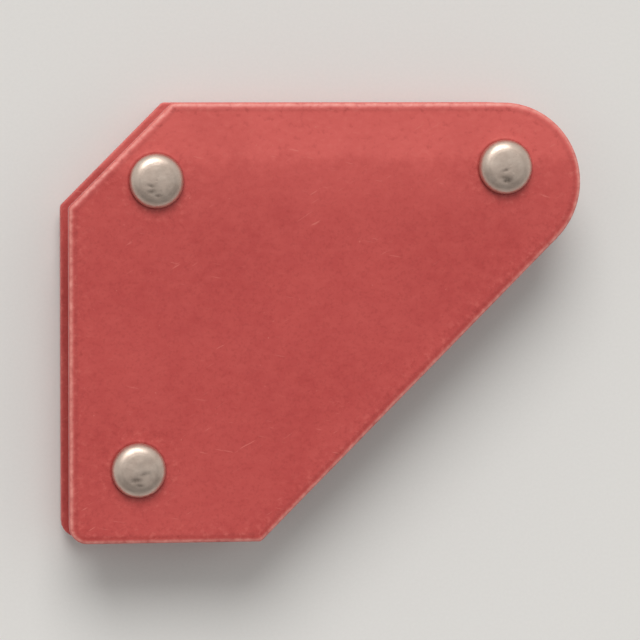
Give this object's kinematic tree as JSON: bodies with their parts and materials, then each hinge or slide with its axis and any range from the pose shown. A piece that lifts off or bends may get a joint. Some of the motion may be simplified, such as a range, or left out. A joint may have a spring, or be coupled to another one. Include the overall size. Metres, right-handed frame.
{
  "type": "welding magnet holder",
  "caption": "Flat riveted magnet holder whose steel plate edges grip and align parts for welding at square, 45 and 135 degree angles.",
  "frame": {"origin": "centre of the bounding box in plan, on the plane that the rivet tails rest on", "axes": "+Z through the thickness towards the rivet heads, +X along the long straight edge towards the round nose, +Y square to that edge and out of it"},
  "size_m": [0.065, 0.055, 0.0144],
  "materials": {
    "red_paint": "satin",
    "rivet_nickel": "satin",
    "zinc_steel": "satin",
    "black_plastic": "matte",
    "ferrite": "matte"
  },
  "bodies": {
    "root": {"back_plate": "red_paint", "front_plate": "red_paint", "core_spacer": "black_plastic", "magnet_top_inner": "ferrite", "magnet_top_outer": "ferrite", "magnet_side": "ferrite", "sleeve_corner": "zinc_steel", "sleeve_nose": "zinc_steel", "sleeve_foot": "zinc_steel", "rivet_corner": "rivet_nickel", "rivet_nose": "rivet_nickel", "rivet_foot": "rivet_nickel"}
  },
  "joints": []
}
